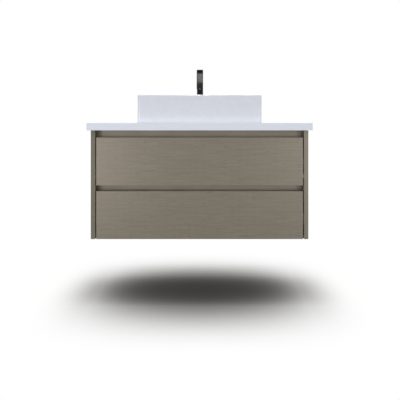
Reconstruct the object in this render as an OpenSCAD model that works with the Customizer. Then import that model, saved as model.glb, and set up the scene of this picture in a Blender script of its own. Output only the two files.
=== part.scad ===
// Floating bathroom vanity: a wall-hung cabinet with two drawers, a stone top, a vessel basin and a tap.
// X points right, the drawer fronts face -Y, the wall is the plane Y = 0 and Z points up.
// The origin lies on the wall, in the middle of the four wall fixing holes.

/* [Cabinet] */
// Width over the side panels
cabinet_width = 900; // [760:10:1200]
// Height of the side panels
cabinet_height = 450; // [430:10:540]
// Depth from the wall to the drawer fronts
cabinet_depth = 460; // [450:5:540]
// Thickness of the carcass boards
board = 18; // [16:1:20]
// How far the back rails reach from the top and the bottom of the cabinet
rail_reach = 100; // [90:2:110]
// Depth of the front rail under the top
front_rail_depth = 80; // [60:5:90]
// Distance between the left and right wall fixing holes
wall_hole_spacing = 640; // [400:10:660]
// Distance of the wall fixing holes from the free edges of the back rails
wall_hole_inset = 40; // [25:1:50]
// Diameter of the wall fixing holes
wall_hole = 10; // [8:0.5:12]

/* [Drawer fronts] */
// Thickness of the drawer fronts
front_thickness = 18; // [16:1:20]
// Gap between a drawer front and the side panel
side_reveal = 4.5; // [3:0.5:6]
// Open height above the upper front
top_gap = 30; // [24:1:36]
// Open height between the two fronts
middle_gap = 24; // [20:1:30]
// Air left behind a closed front
front_air = 2; // [1.5:0.1:3]

/* [Finger channels] */
// How far the back of the finger channels lies behind the fronts
channel_recess = 50; // [40:1:56]
// Wall thickness of the channel profiles
channel_wall = 2; // [1.5:0.1:2.5]
// Height of the L-shaped channel above the upper front
top_channel_height = 57; // [50:1:62]
// Height of the C-shaped channel between the fronts
middle_channel_height = 74; // [66:1:80]
// Height of the turned edge along a channel
channel_lip = 8; // [5:0.5:10]
// Width and depth of the blocks that carry the channels
channel_block = 16; // [12:1:20]

/* [Drawers] */
// Height left free above and below a drawer box
box_air = 13; // [10:0.5:16]
// Overall thickness of a double-walled drawer side
side_wall = 13; // [12:0.5:16]
// Thickness of the drawer side's steel sheet
side_sheet = 1.2; // [1:0.1:1.6]
// Width of the ledge that carries the drawer bottom
side_ledge = 12; // [10:1:16]
// Thickness of the drawer bottom and back boards
drawer_board = 16; // [12:1:18]
// How far the drawer back stays below the drawer sides
back_drop = 6; // [0:1:20]
// Width of the cut-out round the trap
pipe_cutout_width = 170; // [130:5:220]
// Distance from the trap's axis to the front of the cut-out
pipe_cutout_reach = 65; // [50:1:75]
// Thickness of the guard round the cut-out
pipe_guard_wall = 10; // [8:1:14]
// Leg length of the angles that hold the fronts
front_angle_leg = 20; // [15:1:24]
// Height of the angles that hold the fronts
front_angle_height = 70; // [50:1:76]
// Diameter of the rubber bumpers
bumper = 7; // [5:0.5:8]

/* [Runners] */
// Air between the drawer boxes and the back rails
drawer_rear_gap = 24; // [20:1:60]
// Height of the runner's cabinet member
runner_height = 45; // [35:1:50]
// Sheet thickness of the runners
runner_sheet = 1.2; // [1:0.1:1.4]
// Space for a runner between the side panel and the drawer
runner_space = 13; // [12.7:0.1:15]
// Running gap between the runner members
runner_play = 0.4; // [0.3:0.05:0.5]

/* [Top] */
// Thickness of the stone top
top_thickness = 30; // [20:1:40]
// How far the top stands out at the front and at each side
top_overhang = 15; // [5:1:25]
// Leg length of the brackets under the top
top_bracket_leg = 32; // [26:1:36]
// Width of the brackets under the top
top_bracket_width = 40; // [30:1:60]
// Thickness of the brackets under the top
top_bracket_sheet = 2; // [1.5:0.1:3]

/* [Basin] */
// Width of the basin
basin_width = 520; // [420:10:600]
// Depth of the basin, front to back
basin_depth = 350; // [320:5:360]
// Height of the basin
basin_height = 118; // [100:1:140]
// Wall thickness of the basin
basin_wall = 12; // [8:1:18]
// Radius of the basin's upright outer corners
basin_corner = 10; // [4:1:20]
// Radius of the bowl's inner corners
bowl_corner = 22; // [14:1:40]
// Gap between the basin and the tap's body
basin_tap_gap = 10; // [6:1:20]
// Height of the hollow under the basin
foot_hollow = 6; // [4:1:10]
// Width of the basin's foot
foot_width = 25; // [18:1:35]
// Thickness of the bowl's floor
bowl_floor = 14; // [10:1:20]
// Fall of the bowl's floor towards the waste
bowl_fall = 4; // [2:0.5:8]
// Thickness of the gasket under the basin
gasket = 2; // [1:0.5:3]

/* [Waste and trap] */
// Outer radius of the waste's threaded body
waste_radius = 20.5; // [19:0.1:21]
// Outer radius of the waste's flange
waste_flange_radius = 31.5; // [30:0.5:36]
// Thickness of the waste's flange
waste_flange = 2.5; // [2:0.5:4]
// Thickness of the waste's rubber seals
waste_seal = 1.5; // [1:0.1:3]
// Radius of the waste hole in the basin and in the top
waste_hole_radius = 22.5; // [22:0.1:24]
// How far the waste's body reaches below the top
waste_tail = 40; // [34:1:50]
// How far the waste's plug travels
plug_travel = 8; // [5:0.5:10]
// Outer radius of the drain pipes
pipe_radius = 16; // [15:0.5:17]
// Wall thickness of the drain pipes
pipe_wall = 1.8; // [1.5:0.1:2.5]
// Outer radius of the trap's bottle
bottle_radius = 27; // [25:0.5:32]
// Height of the trap's bottle above its cup
bottle_height = 95; // [85:1:100]
// How far the outlet pipe reaches into the wall
wall_spigot = 30; // [20:1:60]
// How much thinner the outlet pipe is inside the wall, on its radius
spigot_step = 0.5; // [0.2:0.1:1]
// Radius of the rosette at the wall
rosette_radius = 35; // [30:1:40]

/* [Tap] */
// Distance of the tap's axis from the wall
tap_setback = 55; // [50:1:60]
// Radius of the tap hole
tap_hole_radius = 17.5; // [17:0.1:18]
// Radius of the tap's body
tap_body_radius = 25; // [24:0.5:28]
// Height of the tap's body
tap_body_height = 88; // [80:1:96]
// Width of the spout, the same all along
spout_width = 29.5; // [26:0.5:32]
// Thickness of the spout's bar
spout_bar = 20; // [18:1:26]
// Distance from the tap's axis to the outlet
spout_reach = 150; // [130:2:180]
// Height of the outlet above the top
outlet_height = 155; // [145:1:190]
// Straight length of the spout above the outlet
spout_drop = 11; // [5:1:20]
// Radius of the round foot on which the spout turns
spout_foot_radius = 12; // [10:0.5:13]
// Length of the round foot inside the body
spout_foot_length = 26; // [20:1:30]
// Radius of the side barrel that holds the cartridge
barrel_radius = 21; // [20:0.5:24]
// Height of the side barrel's axis above the top
barrel_rise = 34; // [32:1:38]
// Length of the side barrel from the tap's axis
barrel_reach = 42; // [38:1:50]
// Length of the lever above its pivot
lever_length = 52; // [40:1:53]
// Width of the lever
lever_width = 9; // [7:0.5:11]
// Radius of the threaded shank under the tap
shank_radius = 16; // [15:0.5:16.5]
// Length of the shank below the top
shank_length = 24; // [20:1:30]

/* [Hidden] */

$fn = 96;

// Colours
taupe = [0.50, 0.47, 0.42];
taupe_shade = [0.44, 0.41, 0.36];
pale_board = [0.80, 0.76, 0.69];
stone = [0.88, 0.90, 0.93];
glaze = [0.92, 0.93, 0.95];
black = [0.08, 0.08, 0.08];
rubber = [0.15, 0.15, 0.15];
chrome = [0.75, 0.76, 0.78];
zinc = [0.62, 0.64, 0.66];
grey_sheet = [0.45, 0.46, 0.48];
white_plastic = [0.90, 0.90, 0.88];
brass = [0.72, 0.58, 0.30];

// Clearances
seat = 0.1;       // between pieces that are seated on each other
slip = 0.05;      // on the radius of a running fit
clear = 0.3;      // between pieces that move past each other
over = 1;         // how far a cutting shape runs past the surface it cuts

// Cabinet
inner_x = cabinet_width / 2 - board;
top_z = cabinet_height / 2;
base_z = -cabinet_height / 2;
floor_z = base_z + board;
front_y = -cabinet_depth;
front_back_y = front_y + front_thickness;
inside_front_y = front_back_y + front_air;
rail_edge_z = top_z - rail_reach;
wall_hole_z = rail_edge_z + wall_hole_inset;

// Drawer fronts
front_half = inner_x - side_reveal;
front_height = (cabinet_height - top_gap - middle_gap) / 2;
upper_front_z = top_z - top_gap - front_height;
middle_z = base_z + front_height + middle_gap / 2;

// Finger channels
channel_face_y = front_y + channel_recess;
channel_back_y = channel_face_y + channel_wall;
channel_lip_y = inside_front_y + channel_wall;
top_channel_z = top_z - top_channel_height;
middle_channel_z = middle_z - middle_channel_height / 2;
middle_channel_top_z = middle_z + middle_channel_height / 2;
middle_block_z = middle_z - middle_channel_height / 4;

// Drawer boxes
box_x = inner_x - runner_space;
box_inner_x = box_x - side_wall;
board_half = box_inner_x - seat;
box_back_y = -board - drawer_rear_gap;
runner_length = box_back_y - front_back_y;
upper_box_z = middle_channel_top_z + box_air;
upper_box_top_z = top_channel_z - box_air;
lower_box_z = floor_z + box_air;
lower_box_top_z = middle_channel_z - box_air;
board_lift = side_sheet + drawer_board;
cutout_half = pipe_cutout_width / 2;
guard_half = cutout_half + pipe_guard_wall;
bumper_inset = 52;

// Runners
runner_y = inside_front_y;
runner_rise = 50;
middle_runner_height = runner_height - 2 * runner_sheet - 2 * runner_play;
drawer_runner_height = middle_runner_height - 2 * runner_sheet - 2 * runner_play;
middle_web_x = inner_x - runner_sheet - runner_play;
runner_tip_x = box_x + runner_sheet + runner_play;
drawer_tip_x = middle_web_x - runner_sheet - runner_play;
upper_runner_z = upper_box_z + runner_rise;
lower_runner_z = lower_box_z + runner_rise;
screw_inset = 37;
screw_radius = 2.5;
screw_head = 3.4;
screw_length = 12;

// Dowels: y and z of each pair's axis
dowel_radius = 4;
dowel_in_side = 12;
dowel_in_end = 20;
dowel_edge = 30;
dowel_spots = [
  [inside_front_y + dowel_edge, base_z + board / 2],
  [inside_front_y / 2, base_z + board / 2],
  [-dowel_edge - board, base_z + board / 2],
  [-board / 2, top_z - dowel_edge],
  [-board / 2, rail_edge_z + dowel_edge / 2],
  [-board / 2, floor_z + dowel_edge / 2],
  [-board / 2, -rail_edge_z - dowel_edge / 2],
  [channel_back_y + dowel_edge / 2, top_z - board / 2],
  [channel_back_y + front_rail_depth - dowel_edge / 2, top_z - board / 2]
];

// Brackets under the top: their middles, front to back
bracket_spots = [channel_back_y + front_rail_depth + top_bracket_width, -board - top_bracket_width];
bracket_screw_radius = 2;
bracket_screw_head = 4;
bracket_head_height = 2;

// Top and basin
top_half = cabinet_width / 2 + top_overhang;
top_front_y = front_y - top_overhang;
worktop_z = top_z + top_thickness;
tap_y = -tap_setback;
basin_back_y = tap_y - tap_body_radius - basin_tap_gap;
basin_front_y = basin_back_y - basin_depth;
basin_y = (basin_front_y + basin_back_y) / 2;
basin_top_z = worktop_z + basin_height;
boss_z = worktop_z + gasket;
hollow_z = worktop_z + foot_hollow;
drain_z = hollow_z + bowl_floor;
bowl_z = drain_z + bowl_fall;
boss_radius = waste_hole_radius + 18;
fall_radius = basin_depth / 2 - basin_wall - 12;
gasket_radius = boss_radius - 2;

// Waste
flange_z = drain_z + waste_seal;
flange_top_z = flange_z + waste_flange;
waste_bore = pipe_radius + 1;
waste_end_z = top_z - waste_tail;
waste_nut_radius = 31;
waste_nut_height = 9;
hub_z = top_z + 8;
hub_height = 8;
hub_radius = 8;
hub_rib = 3;
click_radius = 4;
click_top_z = hub_z + 40;
stem_radius = 7;
plug_z = flange_top_z + clear + plug_travel;
plug_height = 5;
plug_radius = waste_flange_radius - 3;
stem_z = hub_z + hub_height + plug_travel + 2;

// Trap
collar_radius = waste_radius - clear;
collar_height = 4;
lip_height = 7;
nut_grip = 14;
outlet_z = rail_edge_z - rosette_radius - 5;
spigot_radius = pipe_radius - spigot_step;
bottle_shoulder = 42;
bottle_top_z = outlet_z + bottle_shoulder;
bottle_z = bottle_top_z - bottle_height;
bottle_wall = 2.5;
neck_radius = waste_radius;
neck_height = 14;
cup_overlap = 18;
cup_height = 34;
cup_wall = 3;
cup_z = bottle_z + cup_overlap - cup_height;
tailpipe_z = bottle_z + 22;
stub_length = 26;
stub_y = basin_y + bottle_radius + stub_length;
outlet_start_y = stub_y - nut_grip;
nut_radius = waste_radius + 5.5;

// Tap
tap_seal_height = 1.5;
tap_z = worktop_z + tap_seal_height;
tap_top_z = worktop_z + tap_body_height;
spout_z = tap_top_z + clear;
outlet_tip_z = worktop_z + outlet_height;
arch_z = outlet_tip_z + spout_drop;
arch_radius = spout_reach / 2;
arch_y = tap_y - arch_radius;
outlet_y = tap_y - spout_reach;
aerator_radius = spout_bar / 2 - 2;
aerator_height = 12;
barrel_z = worktop_z + barrel_rise;
cartridge_radius = barrel_radius - 3.5;
cartridge_x = 10;
ring_depth = 5;
cartridge_end_x = barrel_reach - ring_depth;
lever_stem_radius = 6;
lever_stem_depth = 16;
hub_start_x = barrel_reach + clear;
hub_depth = 18;
hub_end_x = hub_start_x + hub_depth;
pivot_x = hub_end_x - 7;
pivot_radius = 2;
lever_eye = 5.5;
lever_blade = 5;
slot_floor_x = pivot_x - lever_eye - clear;
shank_end_z = top_z - shank_length;
shank_bore = shank_radius - 3;
shank_grip = 12;
tap_nut_height = 10;
tap_washer_height = 3;
tap_nut_radius = shank_radius + 7;
tap_washer_radius = shank_radius + 9;
inlet_radius = 4.5;
inlet_depth = 12;
inlet_x = -3;
inlet_gap = 6.5;

// A box from its low to its high corner
module block(x0, x1, y0, y1, z0, z1) {
  translate([x0, y0, z0]) cube([x1 - x0, y1 - y0, z1 - z0]);
}

// An upright cylinder at (x, y)
module post(r, z0, z1, x = 0, y = 0) {
  translate([x, y, z0]) cylinder(r = r, h = z1 - z0);
}

// An upright tube at (x, y)
module sleeve(r_out, r_in, z0, z1, x = 0, y = 0) {
  difference() {
    post(r_out, z0, z1, x, y);
    post(r_in, z0 - over, z1 + over, x, y);
  }
}

// A cylinder along X at (y, z)
module bar_x(r, x0, x1, y, z) {
  translate([x0, y, z]) rotate([0, 90, 0]) cylinder(r = r, h = x1 - x0);
}

// A cylinder along Y at (x, z)
module bar_y(r, y0, y1, x, z) {
  translate([x, y0, z]) rotate([-90, 0, 0]) cylinder(r = r, h = y1 - y0);
}

// A profile drawn in X and Z, carried along Y
module along_y(y0, y1) {
  translate([0, y1, 0]) rotate([90, 0, 0]) linear_extrude(y1 - y0) children();
}

// A profile drawn in Y and Z, carried along X
module along_x(x0, x1) {
  translate([x0, 0, 0]) rotate([90, 0, 90]) linear_extrude(x1 - x0) children();
}

// The right-hand piece and its mirror image on the left
module both_sides() {
  children();
  mirror([1, 0, 0]) children();
}

// A rectangle with round corners, centred
module round_rectangle(width, depth, r) {
  square([width, depth - 2 * r], center = true);
  square([width - 2 * r, depth], center = true);
  for (x = [-1, 1], y = [-1, 1])
    translate([x * (width / 2 - r), y * (depth / 2 - r)]) circle(r = r);
}

// ---- Carcass

// The dowels of the right side, a little fatter when they cut their holes
module dowels(grow = 0) {
  for (spot = dowel_spots)
    bar_x(dowel_radius + grow, inner_x - dowel_in_end - grow, inner_x + dowel_in_side + grow,
      spot[0], spot[1]);
}

// The runner screws of the right side, along one runner
module screw_row(axis_z) {
  for (y = [runner_y + screw_inset, runner_y + runner_length / 2, runner_y + runner_length - screw_inset]) {
    bar_x(screw_head, inner_x - runner_sheet, inner_x, y, axis_z);
    bar_x(screw_radius, inner_x, inner_x + screw_length, y, axis_z);
  }
}

// Screws through the brackets of the right side, into the side panel and up into the top
module bracket_screw_set() {
  mid_leg = top_bracket_leg / 2;
  for (y = bracket_spots) {
    bar_x(bracket_screw_radius, inner_x - top_bracket_sheet, inner_x + screw_length, y, top_z - mid_leg - 4);
    bar_x(bracket_screw_head, inner_x - top_bracket_sheet - bracket_head_height,
      inner_x - top_bracket_sheet, y, top_z - mid_leg - 4);
    post(bracket_screw_radius, top_z - top_bracket_sheet, top_z + screw_length, inner_x - mid_leg - 4, y);
    post(bracket_screw_head, top_z - top_bracket_sheet - bracket_head_height,
      top_z - top_bracket_sheet, inner_x - mid_leg - 4, y);
  }
}

module side_panel_right() {
  color(taupe) difference() {
    block(inner_x, cabinet_width / 2, front_y, 0, base_z, top_z);
    dowels(seat);
    screw_row(upper_runner_z);
    screw_row(lower_runner_z);
    bracket_screw_set();
  }
}

module side_panel_left() {
  mirror([1, 0, 0]) side_panel_right();
}

module bottom_panel() {
  color(taupe) difference() {
    block(-inner_x, inner_x, inside_front_y, 0, base_z, floor_z);
    both_sides() dowels(seat);
  }
}

module back_rail(z0, z1, hole_z) {
  color(taupe) difference() {
    block(-inner_x, inner_x, -board, 0, z0, z1);
    both_sides() dowels(seat);
    for (x = [-1, 1])
      bar_y(wall_hole / 2, -board - over, over, x * wall_hole_spacing / 2, hole_z);
  }
}

module upper_back_rail() {
  back_rail(rail_edge_z, top_z, wall_hole_z);
}

module lower_back_rail() {
  back_rail(floor_z, -rail_edge_z, -wall_hole_z);
}

module front_rail() {
  color(taupe) difference() {
    block(-inner_x, inner_x, channel_back_y, channel_back_y + front_rail_depth, top_z - board, top_z);
    both_sides() dowels(seat);
  }
}

module carcass_dowels() {
  color(pale_board) both_sides() dowels();
}

// ---- Finger channels

// Web and foot of the channel under the top, with a turned-down front edge
module top_channel() {
  color(taupe_shade) along_x(-inner_x + seat, inner_x - seat) {
    translate([channel_face_y, top_channel_z]) square([channel_wall, top_channel_height]);
    translate([inside_front_y, top_channel_z]) square([channel_back_y - inside_front_y, channel_wall]);
    translate([inside_front_y, top_channel_z]) square([channel_wall, channel_lip]);
  }
}

// Web and two flanges of the channel between the fronts, with edges turned towards each other
module middle_channel() {
  color(taupe_shade) along_x(-inner_x + seat, inner_x - seat) {
    translate([channel_face_y, middle_channel_z]) square([channel_wall, middle_channel_height]);
    for (z = [middle_channel_z, middle_channel_top_z - channel_wall])
      translate([inside_front_y, z]) square([channel_back_y - inside_front_y, channel_wall]);
    for (z = [middle_channel_z, middle_channel_top_z - channel_lip])
      translate([inside_front_y, z]) square([channel_wall, channel_lip]);
  }
}

module channel_blocks() {
  color(zinc) both_sides() {
    block(inner_x - channel_block, inner_x, channel_back_y, channel_back_y + channel_block,
      top_channel_z + channel_wall, top_z - board);
    block(inner_x - channel_block, inner_x, channel_back_y, channel_back_y + channel_block,
      middle_block_z, middle_block_z + middle_channel_height / 2);
  }
}

// ---- Top

module top_brackets() {
  color(zinc) difference() {
    both_sides() for (y = bracket_spots)
      along_y(y - top_bracket_width / 2, y + top_bracket_width / 2) {
        translate([inner_x - top_bracket_leg, top_z - top_bracket_sheet])
          square([top_bracket_leg, top_bracket_sheet]);
        translate([inner_x - top_bracket_sheet, top_z - top_bracket_leg])
          square([top_bracket_sheet, top_bracket_leg]);
      }
    both_sides() bracket_screw_set();
  }
}

module bracket_screws() {
  color(chrome) both_sides() bracket_screw_set();
}

module stone_top() {
  color(stone) difference() {
    block(-top_half, top_half, top_front_y, 0, top_z, worktop_z);
    post(tap_hole_radius, top_z - over, worktop_z + over, 0, tap_y);
    post(waste_hole_radius, top_z - over, worktop_z + over, 0, basin_y);
    both_sides() bracket_screw_set();
  }
}

// ---- Basin

// The bowl's space: one smooth pocket with a round edge along its floor
module bowl_pocket() {
  x = basin_width / 2 - basin_wall - bowl_corner;
  y = basin_depth / 2 - basin_wall - bowl_corner;
  hull() for (sx = [-1, 1], sy = [-1, 1]) translate([sx * x, basin_y + sy * y, 0]) {
    translate([0, 0, bowl_z + bowl_corner]) sphere(r = bowl_corner, $fn = 32);
    translate([0, 0, basin_top_z]) cylinder(r = bowl_corner, h = over, $fn = 32);
  }
}

module basin() {
  color(glaze) difference() {
    translate([0, basin_y, worktop_z])
      linear_extrude(basin_height) round_rectangle(basin_width, basin_depth, basin_corner);
    bowl_pocket();
    translate([0, basin_y, drain_z])
      cylinder(r1 = waste_flange_radius + over, r2 = fall_radius, h = bowl_fall + over / 10);
    post(waste_hole_radius, worktop_z - over, basin_top_z, 0, basin_y);
    difference() {
      block(-basin_width / 2 + foot_width, basin_width / 2 - foot_width, basin_front_y + foot_width,
        basin_back_y - foot_width, worktop_z - over, hollow_z);
      post(boss_radius, boss_z, hollow_z + over, 0, basin_y);
    }
  }
}

module basin_gasket() {
  color(rubber) sleeve(gasket_radius, waste_hole_radius, worktop_z, boss_z, 0, basin_y);
}

// ---- Waste

// Flanged body with three ribs that carry the click cartridge
module waste_body() {
  color(chrome) difference() {
    union() {
      difference() {
        union() {
          post(waste_flange_radius, flange_z, flange_top_z, 0, basin_y);
          post(waste_radius, waste_end_z, flange_top_z, 0, basin_y);
        }
        post(waste_bore, waste_end_z - over, flange_top_z + over, 0, basin_y);
      }
      post(hub_radius, hub_z, hub_z + hub_height, 0, basin_y);
      for (turn = [0, 120, 240]) translate([0, basin_y, 0]) rotate(turn)
        block(click_radius, waste_bore + over, -hub_rib / 2, hub_rib / 2, hub_z, hub_z + hub_height);
    }
    post(click_radius + slip, hub_z - over, hub_z + hub_height + over, 0, basin_y);
  }
}

// One seal under the flange and one above the back nut
module waste_seals() {
  color(rubber) {
    sleeve(waste_flange_radius - 1, waste_radius + seat, drain_z, flange_z, 0, basin_y);
    sleeve(waste_flange_radius - 1, waste_radius + seat, top_z - waste_seal, top_z, 0, basin_y);
  }
}

module waste_nut() {
  color(chrome) translate([0, basin_y, top_z - waste_seal - waste_nut_height]) difference() {
    cylinder(r = waste_nut_radius, h = waste_nut_height, $fn = 6);
    translate([0, 0, -over]) cylinder(r = waste_radius + slip, h = waste_nut_height + 2 * over);
  }
}

module click_cartridge() {
  color(brass) {
    post(click_radius, hub_z - 4, click_top_z, 0, basin_y);
    post(click_radius + 2, hub_z - 8, hub_z - seat, 0, basin_y);
  }
}

// Cap on a hollow stem that slides on the click cartridge
module waste_plug() {
  color(chrome) {
    post(plug_radius, plug_z, plug_z + plug_height, 0, basin_y);
    sleeve(stem_radius, click_radius + slip, stem_z, plug_z, 0, basin_y);
  }
}

// ---- Trap

module trap_tailpipe() {
  color(white_plastic) difference() {
    union() {
      post(pipe_radius, tailpipe_z, waste_end_z, 0, basin_y);
      post(collar_radius, waste_end_z - collar_height, waste_end_z, 0, basin_y);
    }
    post(pipe_radius - pipe_wall, tailpipe_z - over, waste_end_z + over, 0, basin_y);
  }
}

// A nut that grips a thread of radius grip and closes round the pipe
module pipe_nut(grip) {
  difference() {
    cylinder(r = grip + 5.5, h = nut_grip + lip_height);
    translate([0, 0, -over]) cylinder(r = pipe_radius + slip, h = nut_grip + lip_height + 2 * over);
    translate([0, 0, lip_height]) cylinder(r = grip + slip, h = nut_grip + over);
    for (turn = [0 : 30 : 330]) rotate(turn)
      translate([grip + 5.5 + 1.2, 0, -over]) cylinder(r = 2, h = nut_grip + lip_height + 2 * over);
  }
}

module trap_nuts() {
  color(white_plastic) {
    translate([0, basin_y, waste_end_z - collar_height - lip_height]) pipe_nut(waste_radius);
    translate([0, basin_y, bottle_top_z + neck_height + lip_height]) mirror([0, 0, 1]) pipe_nut(neck_radius);
    translate([0, stub_y + lip_height, outlet_z]) rotate([90, 0, 0]) pipe_nut(neck_radius);
  }
}

// Bottle with a neck for the tailpipe and a side stub for the outlet pipe
module trap_bottle() {
  color(white_plastic) difference() {
    union() {
      post(bottle_radius, bottle_z, bottle_top_z, 0, basin_y);
      post(neck_radius, bottle_top_z, bottle_top_z + neck_height, 0, basin_y);
      bar_y(neck_radius, basin_y, stub_y, 0, outlet_z);
    }
    post(bottle_radius - bottle_wall, bottle_z - over, bottle_top_z - bottle_wall, 0, basin_y);
    post(pipe_radius + slip, bottle_top_z - bottle_wall - over, bottle_top_z + neck_height + over, 0, basin_y);
    bar_y(pipe_radius + slip, basin_y, stub_y + over, 0, outlet_z);
  }
}

// Cup that screws over the bottle's foot
module trap_cup() {
  color(white_plastic) difference() {
    post(bottle_radius + cup_wall, cup_z, cup_z + cup_height, 0, basin_y);
    post(bottle_radius + slip, bottle_z - slip, cup_z + cup_height + over, 0, basin_y);
    post(bottle_radius - bottle_wall, cup_z + cup_wall, bottle_z, 0, basin_y);
  }
}

module outlet_pipe() {
  color(white_plastic) difference() {
    union() {
      bar_y(pipe_radius, outlet_start_y, 0, 0, outlet_z);
      bar_y(spigot_radius, -over, wall_spigot, 0, outlet_z);
    }
    bar_y(spigot_radius - pipe_wall, outlet_start_y - over, wall_spigot + over, 0, outlet_z);
  }
}

module wall_rosette() {
  color(chrome) difference() {
    translate([0, 0, outlet_z]) rotate([90, 0, 0])
      cylinder(r1 = rosette_radius, r2 = rosette_radius - 10, h = 8);
    bar_y(pipe_radius + slip, -8 - over, over, 0, outlet_z);
  }
}

// ---- Tap

module tap_seal() {
  color(rubber) sleeve(tap_body_radius - 1, shank_radius + seat, worktop_z, tap_z, 0, tap_y);
}

// Round body with a side barrel, a socket for the spout's foot and the two water inlets underneath
module tap_body() {
  color(black) difference() {
    union() {
      post(tap_body_radius, tap_z, tap_top_z, 0, tap_y);
      bar_x(barrel_radius, 0, barrel_reach, tap_y, barrel_z);
    }
    post(spout_foot_radius + slip, tap_top_z - spout_foot_length, tap_top_z + over, 0, tap_y);
    bar_x(cartridge_radius + slip, cartridge_x, barrel_reach + over, tap_y, barrel_z);
    post(shank_radius + slip, tap_z - over, tap_z + shank_grip, 0, tap_y);
    for (y = [-1, 1])
      post(inlet_radius, tap_z, tap_z + shank_grip + inlet_depth, inlet_x, tap_y + y * inlet_gap);
  }
}

module tap_cartridge() {
  color(white_plastic) difference() {
    bar_x(cartridge_radius, cartridge_x, cartridge_end_x, tap_y, barrel_z);
    bar_x(lever_stem_radius + slip, hub_start_x - lever_stem_depth - clear, cartridge_end_x + over, tap_y, barrel_z);
  }
}

module cartridge_ring() {
  color(brass) difference() {
    bar_x(cartridge_radius, cartridge_end_x, barrel_reach, tap_y, barrel_z);
    bar_x(lever_stem_radius + slip, cartridge_end_x - over, barrel_reach + over, tap_y, barrel_z);
  }
}

// Foot, pillar, half-round arch and drop, all of one flat bar
module tap_spout() {
  color(black) difference() {
    union() {
      post(spout_foot_radius, tap_top_z - spout_foot_length + clear, spout_z + over, 0, tap_y);
      block(-spout_width / 2, spout_width / 2, tap_y - spout_bar / 2, tap_y + spout_bar / 2, spout_z, arch_z);
      translate([-spout_width / 2, arch_y, arch_z]) rotate([90, 0, 90])
        rotate_extrude(angle = 180)
          translate([arch_radius - spout_bar / 2, 0]) square([spout_bar, spout_width]);
      block(-spout_width / 2, spout_width / 2, outlet_y - spout_bar / 2, outlet_y + spout_bar / 2,
        outlet_tip_z, arch_z);
    }
    post(aerator_radius + slip, outlet_tip_z - over, outlet_tip_z + aerator_height, 0, outlet_y);
  }
}

module aerator() {
  color(chrome) difference() {
    post(aerator_radius, outlet_tip_z, outlet_tip_z + aerator_height, 0, outlet_y);
    post(aerator_radius - 2, outlet_tip_z - over, outlet_tip_z + 2, 0, outlet_y);
  }
}

// Round cap with a stem into the cartridge, a slot for the lever and the pin it tilts on
module lever_hub() {
  color(black) {
    difference() {
      union() {
        bar_x(barrel_radius - 1, hub_start_x, hub_end_x, tap_y, barrel_z);
        bar_x(lever_stem_radius, hub_start_x - lever_stem_depth, hub_start_x + over, tap_y, barrel_z);
      }
      block(slot_floor_x, hub_end_x + over, tap_y - lever_width / 2 - clear, tap_y + lever_width / 2 + clear,
        barrel_z - lever_eye - clear, barrel_z + barrel_radius + over);
    }
    bar_y(pivot_radius, tap_y - lever_width / 2 - 3, tap_y + lever_width / 2 + 3, pivot_x, barrel_z);
  }
}

module tap_lever() {
  y0 = tap_y - lever_width / 2;
  y1 = tap_y + lever_width / 2;
  color(black) difference() {
    union() {
      bar_y(lever_eye, y0, y1, pivot_x, barrel_z);
      block(pivot_x - lever_blade / 2, pivot_x + lever_blade / 2, y0, y1, barrel_z, barrel_z + lever_length);
    }
    bar_y(pivot_radius + slip, y0 - over, y1 + over, pivot_x, barrel_z);
  }
}

module tap_shank() {
  color(brass) sleeve(shank_radius, shank_bore, shank_end_z, tap_z + shank_grip, 0, tap_y);
}

module tap_washer() {
  color(zinc) sleeve(tap_washer_radius, shank_radius + seat, top_z - tap_washer_height, top_z, 0, tap_y);
}

module tap_nut() {
  color(brass) translate([0, tap_y, top_z - tap_washer_height - tap_nut_height]) difference() {
    cylinder(r = tap_nut_radius, h = tap_nut_height, $fn = 6);
    translate([0, 0, -over]) cylinder(r = shank_radius + slip, h = tap_nut_height + 2 * over);
  }
}

// ---- Runners

// An open channel profile between x0 and x1, with its web on the side that web_x names
module channel_profile(x0, x1, height, web_at_high_x) {
  difference() {
    translate([x0, -height / 2]) square([x1 - x0, height]);
    translate([web_at_high_x ? x0 - over : x0 + runner_sheet, -height / 2 + runner_sheet])
      square([x1 - x0 - runner_sheet + over, height - 2 * runner_sheet]);
  }
}

module cabinet_runners(axis_z) {
  color(zinc) both_sides() difference() {
    translate([0, 0, axis_z]) along_y(runner_y, runner_y + runner_length)
      channel_profile(runner_tip_x, inner_x, runner_height, true);
    screw_row(axis_z);
  }
}

module middle_runners(axis_z) {
  color(zinc) both_sides() translate([0, 0, axis_z]) along_y(runner_y, runner_y + runner_length)
    channel_profile(runner_tip_x, middle_web_x, middle_runner_height, true);
}

module drawer_runners(axis_z) {
  color(zinc) both_sides() translate([0, 0, axis_z]) along_y(runner_y, runner_y + runner_length)
    channel_profile(box_x, drawer_tip_x, drawer_runner_height, false);
}

module upper_cabinet_runners() { cabinet_runners(upper_runner_z); }
module lower_cabinet_runners() { cabinet_runners(lower_runner_z); }
module upper_middle_runners() { middle_runners(upper_runner_z); }
module lower_middle_runners() { middle_runners(lower_runner_z); }
module upper_drawer_runners() { drawer_runners(upper_runner_z); }
module lower_drawer_runners() { drawer_runners(lower_runner_z); }

module runner_screws() {
  color(chrome) both_sides() {
    screw_row(upper_runner_z);
    screw_row(lower_runner_z);
  }
}

// ---- Drawers

module drawer_front(z0) {
  color(taupe) block(-front_half, front_half, front_y, front_back_y, z0, z0 + front_height);
}

// Folded steel side: two walls, closed at the top, with a ledge for the bottom board
module drawer_side(z0, z1) {
  color(grey_sheet) along_y(front_back_y, box_back_y) {
    difference() {
      translate([box_inner_x, z0]) square([side_wall, z1 - z0]);
      translate([box_inner_x + side_sheet, z0 - over])
        square([side_wall - 2 * side_sheet, z1 - z0 - side_sheet + over]);
    }
    translate([box_inner_x - side_ledge, z0]) square([side_ledge + side_sheet, side_sheet]);
  }
}

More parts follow.
